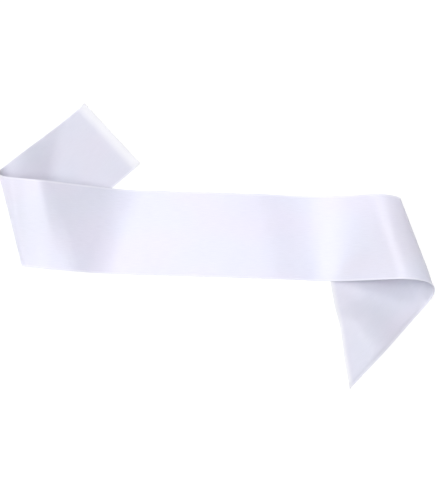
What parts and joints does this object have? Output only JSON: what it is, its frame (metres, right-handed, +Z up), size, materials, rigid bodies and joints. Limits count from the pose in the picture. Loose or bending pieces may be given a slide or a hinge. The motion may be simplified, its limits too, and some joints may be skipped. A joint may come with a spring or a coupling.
{
  "type": "satin sash",
  "caption": "White satin ribbon sash lying flat, both ends turned under in soft rolls, with a square-cut tail behind and a slant-cut tail in front.",
  "frame": {"origin": "centre of the bounding box in plan, at the surface that the sash lies on", "axes": "+X runs along the front band towards the slant-cut end's roll, +Y runs across the band towards the square-cut tail, +Z up out of the face of the band"},
  "size_m": [0.5024, 0.327, 0.0445],
  "materials": {
    "satin_face": "white satin, soft gloss, cool lavender shade",
    "satin_reverse": "white satin reverse, duller, cool lavender shade"
  },
  "bodies": {
    "root": {"front_band": "satin_face", "left_roll": "satin_face", "left_tail": "satin_reverse", "right_roll": "satin_face", "right_tail": "satin_reverse"}
  },
  "joints": []
}
